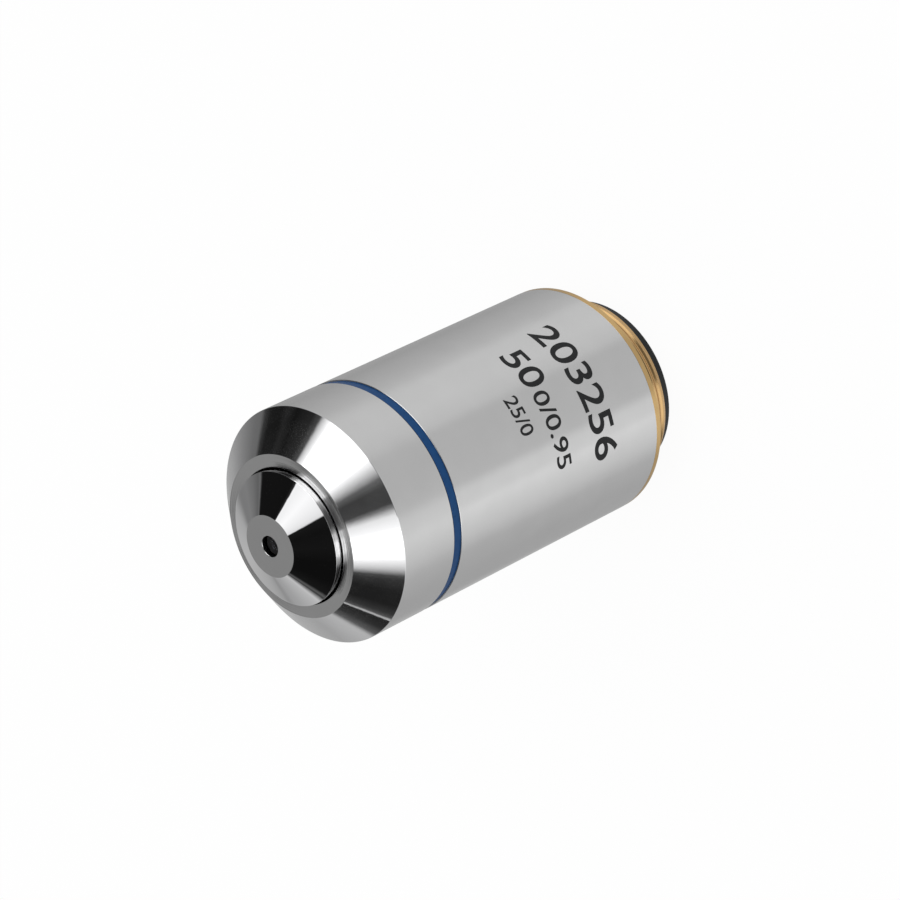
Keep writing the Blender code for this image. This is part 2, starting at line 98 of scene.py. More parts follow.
# The nose from the ring face up, and the recess behind its hole
# The nose side below this height is flat black: painted shade that keeps the deep gap round the nose
# dark.
NOSE_SHADE_BLACK_TOP = -0.45
NOSE_SIDE_END = 0.72
NOSE_CONE_START = 0.91
NOSE_CONE_INSET = 0.25
HOLE_LIP = 0.3
LENS_SEAT_RADIUS = 1.9
LENS_SEAT_END = 1.1
NOSE_BORE_END = 3.1

# The tubes inside each other, from the sleeve inwards
SLEEVE_BORE = 11.05
SKIRT_RADIUS = 11.0
SKIRT_BORE = 10.25
GUIDE_TUBE_RADIUS = 10.2
GUIDE_TUBE_BORE = 9.0
STUB_BORE = 7.96
NOSE_BORE = 5.43

# The mount above its seat, and the black stop ring
SEAT_RADIUS = 10.4
SEAT_RELIEF = 0.1
PILOT_LENGTH = 1.5
SPRING_SEAT_HEIGHT = 0.4
SPIGOT_RADIUS = 7.91
FUNNEL_RADIUS = 6.2
FUNNEL_DEPTH = 1.8
STOP_APERTURE_RADIUS = 4.5

# The return spring and the ring that locks the lens stack
WIRE_RADIUS = 0.5
COIL_RADIUS = 8.35
COIL_TURNS = 5
RETAINER_RADIUS = 6.93
RETAINER_BORE = 4.23

# The numbers lie this much above the sleeve, and their edges are short enough to bend round it
INK_THICKNESS = 0.004
INK_EDGE = 0.3


def corner(node):
    """Lowest and highest corner of a solid, in millimetres."""
    low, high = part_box(node)
    return np.array(low) / MM, np.array(high) / MM


# Sizes taken from the solids, with a hair's breadth between shells that meet
SHROUD_LOW, SHROUD_HIGH = corner("front_shroud")
SLEEVE_LOW, SLEEVE_HIGH = corner("outer_sleeve")
BAND_RADIUS = corner("colour_band")[1][0]
MOUNT_LOW, MOUNT_HIGH = corner("mount_body")
STOP_HIGH = corner("rear_stop")[1]
NOSE_LOW, NOSE_HIGH = corner("nose_cone")
SPRING_LOW, SPRING_HIGH = corner("return_spring")
RETAINER_LOW, RETAINER_HIGH = corner("stack_retainer")

BARREL_RADIUS = SLEEVE_HIGH[0]
SHELL_RADIUS = BARREL_RADIUS - 2 * INK_THICKNESS
RING_FACE_Z = SHROUD_HIGH[2]
SHOULDER_Z = RING_FACE_Z - CONE_HEIGHT
LAND_Z = SHOULDER_Z - LAND_LENGTH
NOSE_RADIUS = NOSE_HIGH[0]
TIP_Z = NOSE_HIGH[2]
SEAT_Z = MOUNT_LOW[2] + THREAD_LENGTH
SLEEVE_REAR_Z = SLEEVE_LOW[2] + 0.05
FLANGE_TOP_Z = SLEEVE_REAR_Z - 0.01
FLANGE_RADIUS = BARREL_RADIUS - 0.02
RIM_TOP_Z = MOUNT_LOW[2] - 0.05


# colours and nodes


def linear(hex_colour):
    """An sRGB hex colour as linear red, green, blue and alpha."""
    channels = [int(hex_colour[i : i + 2], 16) / 255 for i in (1, 3, 5)]
    return (*[c / 12.92 if c <= 0.04045 else ((c + 0.055) / 1.055) ** 2.4 for c in channels], 1.0)


def add_node(tree, kind, links=None, **settings):
    """Adds a node. links gives each input a value or the socket that feeds it."""
    node = tree.nodes.new(kind)
    for name, value in settings.items():
        setattr(node, name, value)
    for name, value in (links or {}).items():
        if isinstance(value, bpy.types.NodeSocket):
            tree.links.new(value, node.inputs[name])
        else:
            node.inputs[name].default_value = value
    return node


def blank_material(name):
    """A material with only its output node."""
    material = bpy.data.materials.new(name)
    material.use_nodes = True
    material.node_tree.nodes.clear()
    output = add_node(material.node_tree, "ShaderNodeOutputMaterial")
    return material, material.node_tree, output


def metal(
    name,
    colour,
    roughness,
    spread,
    line_mm,
    line_um,
    wave_um=0.0,
    wave_mm=0.6,
    cloud=0.03,
    lean=0.0,
    haze=0.0,
):
    """A turned or buffed metal. The tool leaves circular lines line_mm apart, which change with
    height and radius, and line_um deep in thousandths of a millimetre.

    The lines throw the light across themselves, by the share of spread, so a turned barrel shows
    crisp bands along its length. Where they are coarse, each line leans by up to lean, in radians.
    The wave is the slow unevenness of a hand-held buff, wave_mm long, and the haze the thin dull
    film that is left in patches by wiping. The cloud is a slight change of grey in the plating.
    """
    material, tree, output = blank_material(name)
    coordinates = add_node(tree, "ShaderNodeTexCoord").outputs
    place, normal = coordinates["Object"], coordinates["Normal"]
    parts = add_node(tree, "ShaderNodeSeparateXYZ", {"Vector": place}).outputs
    flat = add_node(tree, "ShaderNodeCombineXYZ", {"X": parts["X"], "Y": parts["Y"]}).outputs[0]
    radius = add_node(tree, "ShaderNodeVectorMath", {0: flat}, operation="LENGTH").outputs["Value"]
    along = add_node(
        tree, "ShaderNodeVectorMath", {0: (0, 0, 1), 1: flat}, operation="CROSS_PRODUCT"
    ).outputs[0]
    across = add_node(
        tree, "ShaderNodeVectorMath", {0: normal, 1: along}, operation="CROSS_PRODUCT"
    ).outputs[0]
    across = add_node(tree, "ShaderNodeVectorMath", {0: across}, operation="NORMALIZE").outputs[0]
    lines_at = add_node(tree, "ShaderNodeCombineXYZ", {"X": parts["Z"], "Y": radius}).outputs[0]
    lines = add_node(
        tree,
        "ShaderNodeTexNoise",
        {"Vector": lines_at, "Scale": 1 / (line_mm * MM), "Detail": 2.0},
        noise_dimensions="2D",
    ).outputs["Fac"]
    clouds = add_node(
        tree, "ShaderNodeTexNoise", {"Vector": place, "Scale": 1 / (3 * MM), "Detail": 3.0}
    ).outputs["Fac"]
    rough = add_node(
        tree,
        "ShaderNodeMapRange",
        {
            "Value": lines,
            "From Min": 0.3,
            "From Max": 0.7,
            "To Min": roughness * 0.92,
            "To Max": roughness * 1.08,
        },
    ).outputs[0]
    film = 0.0
    if haze:
        film = add_node(
            tree,
            "ShaderNodeMapRange",
            {"Value": clouds, "From Min": 0.4, "From Max": 0.65, "To Max": haze},
        ).outputs[0]
    shade = add_node(
        tree,
        "ShaderNodeMapRange",
        {"Value": clouds, "From Min": 0.3, "From Max": 0.7, "To Min": 1 - cloud, "To Max": 1.0},
    ).outputs[0]
    tint = add_node(
        tree, "ShaderNodeVectorMath", {0: linear(colour)[:3], "Scale": shade}, operation="SCALE"
    ).outputs[0]
    leaning = add_node(
        tree,
        "ShaderNodeMapRange",
        {"Value": lines, "From Min": 0.3, "From Max": 0.7, "To Min": -lean, "To Max": lean},
        clamp=False,
    ).outputs[0]
    tipped = add_node(
        tree, "ShaderNodeVectorMath", {0: across, "Scale": leaning}, operation="SCALE"
    ).outputs[0]
    tipped = add_node(
        tree, "ShaderNodeVectorMath", {0: normal, 1: tipped}, operation="ADD"
    ).outputs[0]
    tipped = add_node(tree, "ShaderNodeVectorMath", {0: tipped}, operation="NORMALIZE").outputs[0]
    bump = add_node(
        tree,
        "ShaderNodeBump",
        {"Strength": 1.0, "Distance": line_um * MM / 1000, "Height": lines, "Normal": tipped},
    ).outputs[0]
    if wave_um:
        wave = add_node(
            tree,
            "ShaderNodeTexNoise",
            {"Vector": place, "Scale": 1 / (wave_mm * MM), "Detail": 1.0},
        ).outputs["Fac"]
        bump = add_node(
            tree,
            "ShaderNodeBump",
            {"Strength": 1.0, "Distance": wave_um * MM / 1000, "Height": wave, "Normal": bump},
        ).outputs[0]
    shader = add_node(
        tree,
        "ShaderNodeBsdfPrincipled",
        {
            "Base Color": tint,
            "Metallic": 1.0,
            "Roughness": rough,
            "Anisotropic": spread,
            "Tangent": across,
            "Normal": bump,
            "Coat Weight": film,
            "Coat Roughness": 0.4,
        },
    )
    tree.links.new(shader.outputs[0], output.inputs["Surface"])
    return material


def coating(name, colour, roughness, grain_mm, grain_depth_mm, specular=0.5):
    """A painted, anodised or enamelled surface: a plain colour with a fine grain in its sheen."""
    material, tree, output = blank_material(name)
    place = add_node(tree, "ShaderNodeTexCoord").outputs["Object"]
    grain = add_node(
        tree,
        "ShaderNodeTexNoise",
        {"Vector": place, "Scale": 1 / (grain_mm * MM), "Detail": 4.0},
    )
    rough = add_node(
        tree,
        "ShaderNodeMapRange",
        {
            "Value": grain.outputs["Fac"],
            "From Min": 0.3,
            "From Max": 0.7,
            "To Min": roughness - 0.04,
            "To Max": roughness + 0.06,
        },
    )
    shade = add_node(
        tree,
        "ShaderNodeMapRange",
        {
            "Value": grain.outputs["Fac"],
            "From Min": 0.3,
            "From Max": 0.7,
            "To Min": 0.9,
            "To Max": 1.08,
        },
    )
    tint = add_node(
        tree,
        "ShaderNodeVectorMath",
        {0: linear(colour)[:3], "Scale": shade.outputs["Result"]},
        operation="SCALE",
    )
    bump = add_node(
        tree,
        "ShaderNodeBump",
        {"Strength": 1.0, "Distance": grain_depth_mm * MM, "Height": grain.outputs["Fac"]},
    )
    shader = add_node(
        tree,
        "ShaderNodeBsdfPrincipled",
        {
            "Base Color": tint.outputs["Vector"],
            "Roughness": rough.outputs["Result"],
            "Specular IOR Level": specular,
            "Normal": bump.outputs["Normal"],
        },
    )
    tree.links.new(shader.outputs[0], output.inputs["Surface"])
    return material


def optical_glass(name, tint):
    """Polished lens glass with a blooming coat, which leaves only a little of its reflection."""
    material, tree, output = blank_material(name)
    place = add_node(tree, "ShaderNodeTexCoord").outputs["Object"]
    smear = add_node(
        tree, "ShaderNodeTexNoise", {"Vector": place, "Scale": 1 / (2 * MM), "Detail": 2.0}
    )
    rough = add_node(
        tree,
        "ShaderNodeMapRange",
        {"Value": smear.outputs["Fac"], "To Min": 0.0, "To Max": 0.03},
    )
    shader = add_node(
        tree,
        "ShaderNodeBsdfPrincipled",
        {
            "Base Color": (1.0, 1.0, 1.0, 1.0),
            "Roughness": rough.outputs["Result"],
            "IOR": 1.52,
            "Transmission Weight": 1.0,
            "Specular IOR Level": 0.05,
            "Specular Tint": linear(tint),
        },
    )
    tree.links.new(shader.outputs[0], output.inputs["Surface"])
    return material


# surfaces


def rounded_section(corners):
    """A closed lathe section with an arc at each corner.

    corners holds rows of radius, height, arc radius and finish, in order round the section with
    the metal on the left. Each arc starts and ends arc radius times tan(half the turn) from its
    corner, and its points lie on a circle that is tangent to both sides. The normal turns with the
    arc. It returns the points, their normals and the finish of the stretch after each point.
    """
    rows = np.array(corners, float)
    point, arc, finish = rows[:, :2], rows[:, 2], rows[:, 3].astype(int)
    before = point - np.roll(point, 1, axis=0)
    after = np.roll(point, -1, axis=0) - point
    before /= np.linalg.norm(before, axis=1, keepdims=True)
    after /= np.linalg.norm(after, axis=1, keepdims=True)
    turn = np.arctan2(
        before[:, 0] * after[:, 1] - before[:, 1] * after[:, 0], (before * after).sum(1)
    )
    start = point - before * (arc * np.tan(np.abs(turn) / 2))[:, None]
    left = np.stack([-before[:, 1], before[:, 0]], 1)
    centre = start + left * (np.sign(turn) * arc)[:, None]
    angle = turn[:, None] * np.linspace(0, 1, EDGE_STEPS + 1)[None, :]
    heading = np.stack(
        [
            before[:, :1] * np.cos(angle) - before[:, 1:] * np.sin(angle),
            before[:, :1] * np.sin(angle) + before[:, 1:] * np.cos(angle),
        ],
        2,
    )
    normal = np.stack([heading[..., 1], -heading[..., 0]], 2)
    points = centre[:, None, :] + normal * (np.sign(turn) * arc)[:, None, None]
    return points.reshape(-1, 2), normal.reshape(-1, 2), np.repeat(finish, EDGE_STEPS + 1)


def grid_object(name, points, materials, finish=None, normals=None, closed=True):
    """A mesh from a grid of points in millimetres, joined round its first side, and along its
    second side too if closed is set. finish gives the material of each column of faces."""
    count_u, count_v = points.shape[:2]
    u = np.arange(count_u)
    v = np.arange(count_v if closed else count_v - 1)
    u0, v0 = np.meshgrid(u, v, indexing="ij")
    u1, v1 = (u0 + 1) % count_u, (v0 + 1) % count_v
    quads = np.stack(
        [u0 * count_v + v0, u1 * count_v + v0, u1 * count_v + v1, u0 * count_v + v1], -1
    ).reshape(-1, 4)
    mesh = bpy.data.meshes.new(name)
    mesh.vertices.add(count_u * count_v)
    mesh.vertices.foreach_set("co", (points * MM).astype(np.float32).ravel())
    mesh.loops.add(quads.size)
    mesh.loops.foreach_set("vertex_index", quads.astype(np.int32).ravel())
    mesh.polygons.add(len(quads))
    mesh.polygons.foreach_set("loop_start", np.arange(0, quads.size, 4, dtype=np.int32))
    mesh.polygons.foreach_set("use_smooth", np.ones(len(quads), bool))
    if finish is not None:
        mesh.polygons.foreach_set(
            "material_index", np.broadcast_to(finish[v], u0.shape).astype(np.int32).ravel()
        )
    mesh.update(calc_edges=True)
    if normals is not None:
        mesh.normals_split_custom_set_from_vertices(normals.reshape(-1, 3))
    for material in materials:
        mesh.materials.append(material)
    piece = bpy.data.objects.new(name, mesh)
    bpy.context.scene.collection.objects.link(piece)
    return piece


def spun(flat, turns):
    """Each point (a, b) of a section carried round the axis to (a cos t, a sin t, b)."""
    radius, height = flat[None, :, 0], flat[None, :, 1]
    angle = turns[:, None]
    return np.stack(
        [radius * np.cos(angle), radius * np.sin(angle), height + 0 * angle], axis=2
    )


def turned(name, corners, materials):
    """A lathe-turned ring with rounded corners and exact normals."""
    points, normals, finish = rounded_section(corners)
    turns = np.linspace(0, math.tau, TURN_FACETS, endpoint=False)
    return grid_object(
        name, spun(points, turns), materials, finish=finish, normals=spun(normals, turns)
    )


def lens(name, edge_radius, low, low_bulge, high, high_bulge, material):
    """A lens between two spherical caps. A cap of bulge b over an edge radius e has the sphere
    radius (e squared + b squared) / 2b. Its height falls from b on the axis to 0 at the edge."""
    radius = np.linspace(0, edge_radius, 17)

    def cap(bulge):
        if bulge == 0:
            return 0 * radius
        sphere = (edge_radius**2 + bulge**2) / (2 * abs(bulge))
        return math.copysign(1, bulge) * (np.sqrt(sphere**2 - radius**2) - sphere + abs(bulge))

    lower = np.stack([radius, low + cap(low_bulge)], 1)
    upper = np.stack([radius, high + cap(high_bulge)], 1)[::-1]
    turns = np.linspace(0, math.tau, LENS_FACETS, endpoint=False)
    section = np.concatenate([lower, upper])
    piece = grid_object(name, spun(section, turns), [material], closed=False)
    merge_poles(piece)
    return piece


def merge_poles(piece, sharp=35):
    """Closes the poles of a turned grid, and keeps its edges over this angle sharp."""
    bm = bmesh.new()
    bm.from_mesh(piece.data)
    bmesh.ops.remove_doubles(bm, verts=bm.verts, dist=1e-8)
    bmesh.ops.recalc_face_normals(bm, faces=bm.faces)
    bm.to_mesh(piece.data)
    bm.free()
    piece.data.set_sharp_from_angle(angle=math.radians(sharp))


def dress(piece, body, slot, *nodes):
    """Says which body a piece rides on and which solids it stands for. The slot it takes is not
    used.
    """
    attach(piece, body)
    if nodes:
        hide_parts(*nodes)


# finishes

# A fine turning feed leaves lines about 0.05 mm apart, less than a pixel of the photograph. They are
# drawn 0.08 to 0.30 mm apart, so that the eye still reads them as turning. The mirrors keep next to
# none.

# Satin chrome plate over fine turning: an even grey with soft but clear bands along the barrel
satin_chrome = metal("satin_chrome_plate", "#CFCFCF", 0.20, 0.8, 0.25, 0.5)
# The same plate on the front land, which was dressed with emery and throws the light wider
land_chrome = metal("satin_chrome_plate_land", "#CDCDCD", 0.25, 0.4, 0.25, 0.5)
# Buffed chrome plate of the wide cone: a mirror with a trace of unevenness and dull patches
buffed_chrome = metal(
    "buffed_chrome_plate", "#DCDCDD", 0.05, 0.0, 0.5, 0.1, wave_um=1.2, cloud=0.02, haze=0.5
)
# Lapped chrome plate of the nose: the clearest mirror, with hard edges in its reflections
lapped_chrome = metal(
    "lapped_chrome_plate", "#DCDCDD", 0.02, 0.0, 0.5, 0.0, wave_um=0.8, wave_mm=0.4, cloud=0.01
)
# Faced chrome plate, cut square by the lathe: its fine rings throw the light along the radius
faced_chrome = metal("faced_chrome_plate", "#C8C8C8", 0.08, 0.0, 0.08, 0.0, lean=0.26)
# Ground chrome plate round the front lens: an even dull grey
ground_chrome = metal("ground_chrome_plate", "#C8C8C8", 0.22, 0.0, 0.30, 0.2)
# Lacquered turned brass of the flange: warm gold, smoothly turned
turned_brass = metal("lacquered_turned_brass", "#CEAD77", 0.20, 0.7, 0.25, 1.5, cloud=0.10)
# The same brass in the screw, deeper in colour between the flanks, with bright lines from the tool
screw_brass = metal("lacquered_screw_brass", "#CDA976", 0.24, 0.5, 0.12, 1.5, cloud=0.12)
# Plain turned brass of the inner cells, a little darker and drier
cell_brass = metal("turned_cell_brass", "#C9A56A", 0.30, 0.6, 0.30, 2.0, cloud=0.15)
# Bright drawn spring wire and screw steel
bright_steel = metal("bright_drawn_steel", "#B4B4B8", 0.28, 0.0, 0.20, 1.0)
# Black anodised aluminium, matt, with a cold sheen
black_anodised = coating("black_anodised_aluminium", "#101314", 0.38, 0.15, 0.0010, specular=0.3)
# Flat optical black inside the lens stack, which kills stray light. The same black is painted shade
# on the band's front end wall and on the nose side below the ring face.
flat_black_and_painted_shade = coating("flat_optical_black_and_painted_shade", "#0B0B0C", 0.75, 0.10, 0.0030, specular=0.1)
# Stoved blue enamel in the groove, smooth and deep in colour
blue_enamel = coating("stoved_blue_enamel", "#194372", 0.30, 0.60, 0.0010, specular=0.1)
# Black engraving wax in the numbers
engraving_wax = coating("black_engraving_wax", "#1C1D1E", 0.55, 0.10, 0.0010, specular=0.2)
# Coated optical glass: clear, with a dim and faintly blue reflection
coated_glass = optical_glass("coated_optical_glass", "#6C6C72")


# housing

SATIN, MIRROR, FACED, LAND = 0, 1, 2, 3
shroud = turned(
    "shroud_shell",
    [
        (SKIRT_BORE, SHROUD_LOW[2], 0.03, SATIN),
        (SKIRT_RADIUS, SHROUD_LOW[2], 0.03, SATIN),
        (SKIRT_RADIUS, LAND_Z, 0.02, SATIN),
        (BARREL_RADIUS, LAND_Z, 0.06, LAND),
        (BARREL_RADIUS, SHOULDER_Z, 0.14, MIRROR),
        (RING_RADIUS, RING_FACE_Z, 0.10, FACED),
        (RING_BORE, RING_FACE_Z, 0.08, SATIN),
        (RING_BORE, RING_FACE_Z - STOP_DEPTH, 0.03, SATIN),
        (SKIRT_BORE, RING_FACE_Z - STOP_DEPTH, 0.03, SATIN),
    ],
    [satin_chrome, buffed_chrome, faced_chrome, land_chrome],
)
dress(shroud, "housing", "polished_chrome", "front_shroud")

# The band's front end wall and its bore are flat black: painted shade that draws a dark line in the
# gap before the land.
ENAMEL, PAINTED_SHADE_WALL = 0, 1
band_bore = BAND_RADIUS - BAND_WALL
band = turned(
    "band_inlay",
    [
        (band_bore, SLEEVE_HIGH[2] - 0.02, 0.01, ENAMEL),
        (BAND_RADIUS, SLEEVE_HIGH[2] - 0.02, 0.01, ENAMEL),
        (BAND_RADIUS, LAND_Z - BAND_GAP, 0.01, PAINTED_SHADE_WALL),
        (band_bore, LAND_Z - BAND_GAP, 0.01, PAINTED_SHADE_WALL),
    ],
    [blue_enamel, flat_black_and_painted_shade],
)
dress(band, "housing", "band_enamel", "colour_band")

sleeve = turned(
    "sleeve_shell",
    [
        (SLEEVE_BORE, SLEEVE_REAR_Z, 0.03, 0),
        (SHELL_RADIUS, SLEEVE_REAR_Z, 0.03, 0),
        (SHELL_RADIUS, SLEEVE_HIGH[2], 0.08, 0),
        (SLEEVE_BORE, SLEEVE_HIGH[2], 0.03, 0),
    ],
    [satin_chrome],
)
dress(sleeve, "housing", "satin_chrome", "outer_sleeve")


def threaded_mount():
    """The brass mount. Its section is turned as usual, but over the stub the radius follows the
    screw: root + (crest - root) (1 + cos(tau (height / pitch - turn / tau))) / 2. The crest is
    lowered over the chamfered entry, and the wave fades out at the relief groove."""
    seat, top = SEAT_Z, MOUNT_HIGH[2]
    root = THREAD_RADIUS - THREAD_DEPTH
    relief, relief_radius = seat - RELIEF_WIDTH, THREAD_RADIUS - RELIEF_DEPTH
    pilot_top = FLANGE_TOP_Z + PILOT_LENGTH
    spring_seat = FLANGE_TOP_Z + SPRING_SEAT_HEIGHT
    turns = np.linspace(0, math.tau, THREAD_FACETS, endpoint=False)
    rows = np.linspace(MOUNT_LOW[2], relief, 96)
    outer, _, _ = rounded_section(
        [
            (relief_radius, relief - 0.02, 0.01, 0),
            (relief_radius, seat + SEAT_RELIEF, 0.03, 0),
            (SEAT_RADIUS, seat + SEAT_RELIEF, 0.02, 0),
            (SEAT_RADIUS, seat, 0.03, 0),
            (FLANGE_RADIUS, seat, 0.07, 0),
            (FLANGE_RADIUS, FLANGE_TOP_Z, 0.02, 0),
            (SKIRT_RADIUS, FLANGE_TOP_Z, 0.03, 0),
            (SKIRT_RADIUS, pilot_top, 0.03, 0),
            (GUIDE_TUBE_RADIUS, pilot_top, 0.03, 0),
            (GUIDE_TUBE_RADIUS, top, 0.1, 0),
            (GUIDE_TUBE_BORE, top, 0.1, 0),
            (GUIDE_TUBE_BORE, spring_seat, 0.03, 0),
            (STUB_BORE, spring_seat, 0.05, 0),
            (STUB_BORE, seat, 0.01, 0),
        ]
    )
    phase = rows[None, :] / THREAD_PITCH - turns[:, None] / math.tau
    wave = 0.5 + 0.5 * np.cos(math.tau * phase)
    run_out = np.clip((relief - rows) / RUN_OUT_LENGTH, 0, 1)
    crest = THREAD_RADIUS - np.clip(LEAD_CHAMFER - (rows - MOUNT_LOW[2]), 0, None)
    screw_radius = np.minimum(root, crest) + np.maximum(crest - root, 0) * wave * run_out
    screw = np.stack(
        [
            screw_radius * np.cos(turns)[:, None],
            screw_radius * np.sin(turns)[:, None],
            np.broadcast_to(rows, screw_radius.shape),
        ],
        2,
    )
    foot = spun(np.array([(STUB_BORE, MOUNT_LOW[2])]), turns)
    points = np.concatenate([foot, screw, spun(outer[EDGE_STEPS + 1 :], turns)], axis=1)
    cut_with_screw = (np.arange(points.shape[1]) < len(rows)).astype(int)
    piece = grid_object(
        "threaded_mount", points, [turned_brass, screw_brass], finish=cut_with_screw
    )
    merge_poles(piece, sharp=50)
    return piece


mount = threaded_mount()
dress(mount, "housing", "mount_brass", "mount_body")

rear_stop = turned(
    "stop_ring",
    [
        (FUNNEL_RADIUS, 0.0, 0.05, 0),
        (STOP_HIGH[0], 0.0, 0.10, 0),
        (STOP_HIGH[0], RIM_TOP_Z, 0.03, 0),
        (SPIGOT_RADIUS, RIM_TOP_Z, 0.03, 0),
        (SPIGOT_RADIUS, STOP_HIGH[2], 0.05, 0),
        (STOP_APERTURE_RADIUS, STOP_HIGH[2], 0.05, 0),
        (STOP_APERTURE_RADIUS, FUNNEL_DEPTH, 0.1, 0),
    ],
    [black_anodised],
)
dress(rear_stop, "housing", "stop_black", "rear_stop")


def coil(name, wire, mean, low, high, turns, material):
    """A wire carried along a helix: its centre is (m cos t, m sin t, rise(t)), where the rise is
    slow over the closed end turns. Its circle stands in the plane of the axis and the radius."""
    steps = int(turns * COIL_STEPS)
    way = np.linspace(0, turns, steps + 1)
    closed = 2 * wire + 0.05
    pitch = (high - low - 2 * wire - 2 * closed) / (turns - 2)
    rise = (
        low
        + wire
        + closed * np.minimum(way, 1)
        + pitch * np.clip(way - 1, 0, turns - 2)
        + closed * np.clip(way - (turns - 1), 0, 1)
    )
    around = np.linspace(0, math.tau, WIRE_FACETS, endpoint=False)
    radius = mean + wire * np.cos(around)[:, None] * np.ones(steps + 1)[None, :]
    angle = math.tau * way[None, :]
    points = np.stack(
        [
            radius * np.cos(angle),
            radius * np.sin(angle),
            rise[None, :] + wire * np.sin(around)[:, None],
        ],
        2,
    )
    ends = np.repeat(points.mean(0, keepdims=True), WIRE_FACETS, axis=0)
    points = np.concatenate([ends[:, :1], points, ends[:, -1:]], axis=1)
    piece = grid_object(name, points, [material], closed=False)
    merge_poles(piece)
    return piece


spring = coil(
    "spring_coil",
    WIRE_RADIUS,
    COIL_RADIUS,
    SPRING_LOW[2],
    SPRING_HIGH[2],
    COIL_TURNS,
    bright_steel,
)
dress(spring, "housing", "spring_steel", "return_spring")
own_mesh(spring)


def wrapped_number(name, text, height, from_degrees, to_degrees, base_z, weight):
    """Flat figures bent onto the barrel: the reading direction runs round it as an angle of arc /
    radius, the tops of the figures point to the thread, and they lie a hair above the plate."""
    curve = bpy.data.curves.new(name, "FONT")
    curve.body = text
    curve.offset = weight
    curve.resolution_u = 6
    holder = bpy.data.objects.new(name + "_flat", curve)
    bpy.context.scene.collection.objects.link(holder)
    bpy.context.view_layer.update()
    evaluated = holder.evaluated_get(bpy.context.evaluated_depsgraph_get())
    mesh = bpy.data.meshes.new_from_object(evaluated)
    bpy.data.objects.remove(holder)
    mesh.name = name
    bm = bmesh.new()
    bm.from_mesh(mesh)
    xs = [v.co.x for v in bm.verts]
    ys = [v.co.y for v in bm.verts]
    left, width = min(xs), max(xs) - min(xs)
    foot, rise = min(ys), max(ys) - min(ys)
    span = math.radians(from_degrees - to_degrees) * BARREL_RADIUS
    for v in bm.verts:
        v.co = Vector(((v.co.x - left) / width * span, (v.co.y - foot) / rise * height, 0))
    bmesh.ops.triangulate(bm, faces=bm.faces)
    for _ in range(8):
        long_edges = [e for e in bm.edges if e.calc_length() > INK_EDGE]
        if not long_edges:
            break
        bmesh.ops.subdivide_edges(bm, edges=long_edges, cuts=1)
        bmesh.ops.triangulate(bm, faces=bm.faces)
    radius = (SHELL_RADIUS + INK_THICKNESS) * MM
    for v in bm.verts:
        azimuth = math.radians(from_degrees) - v.co.x / BARREL_RADIUS
        v.co = Vector(
            (radius * math.sin(azimuth), -radius * math.cos(azimuth), (base_z - v.co.y) * MM)
        )
    bm.normal_update()
    flipped = [f for f in bm.faces if f.normal.dot(f.calc_center_median()) < 0]
    bmesh.ops.reverse_faces(bm, faces=flipped)
    bm.to_mesh(mesh)
    bm.free()
    mesh.materials.clear()
    mesh.materials.append(engraving_wax)
    piece = bpy.data.objects.new(name, mesh)
    bpy.context.scene.collection.objects.link(piece)
    dress(piece, "housing", "stop_black")


# Figures, their height, where they start and end round the barrel, their foot and their weight
wrapped_number("numbers_large", "203256", 3.4, 40.4, -33.4, LAND_Z - 20.76, 0.012)
wrapped_number("numbers_middle", "50", 3.15, 34.8, 13.0, LAND_Z - 15.22, 0.012)
wrapped_number("numbers_small", "0/0.95", 2.1, 10.6, -27.9, LAND_Z - 15.22, 0.010)
wrapped_number("numbers_fine", "25/0", 1.8, 14.0, -5.8, LAND_Z - 11.71, 0.010)


# lens unit

BLACK, LAPPED, GROUND = 0, 1, 2
nose = turned(
    "nose_shell",
    [
        (NOSE_BORE, NOSE_LOW[2], 0.03, BLACK),
        # The side from the foot to just below the ring face is flat black: painted shade in the gap
        # round the nose.
        (NOSE_RADIUS, NOSE_LOW[2], 0.05, BLACK),
        (NOSE_RADIUS, RING_FACE_Z + NOSE_SHADE_BLACK_TOP, 0.0, LAPPED),
        (NOSE_RADIUS, RING_FACE_Z + NOSE_SIDE_END, 0.04, LAPPED),
        (NOSE_RADIUS - NOSE_CONE_INSET, RING_FACE_Z + NOSE_CONE_START, 1.6, LAPPED),
        (TIP_RADIUS, TIP_Z, 0.03, GROUND),
        (TIP_HOLE_RADIUS + 0.03, TIP_Z, 0.01, GROUND),
        (TIP_HOLE_RADIUS, TIP_Z - 0.03, 0.01, BLACK),
        (TIP_HOLE_RADIUS, TIP_Z - HOLE_LIP, 0.02, BLACK),
        (LENS_SEAT_RADIUS, TIP_Z - HOLE_LIP, 0.02, BLACK),
        (LENS_SEAT_RADIUS, TIP_Z - LENS_SEAT_END, 0.02, BLACK),
        (NOSE_BORE, TIP_Z - NOSE_BORE_END, 0.05, BLACK),
    ],
    [flat_black_and_painted_shade, lapped_chrome, ground_chrome],
)
dress(nose, "lens_unit", "nose_chrome", "nose_cone")

front_glass = lens(
    "front_lens_glass",
    edge_radius=1.85,
    low=TIP_Z - 0.95,
    low_bulge=-1.2,
    high=TIP_Z - 0.35,
    high_bulge=0.0,
    material=coated_glass,
)
dress(front_glass, "lens_unit", "lens_glass", "front_lens")

retainer = turned(
    "retainer_ring",
    [
        (RETAINER_BORE, RETAINER_LOW[2], 0.05, 0),
        (RETAINER_RADIUS, RETAINER_LOW[2], 0.05, 0),
        (RETAINER_RADIUS, RETAINER_HIGH[2], 0.05, 0),
        (RETAINER_BORE, RETAINER_HIGH[2], 0.05, 0),
    ],
    [cell_brass],
)
dress(retainer, "lens_unit", "inner_brass", "stack_retainer")

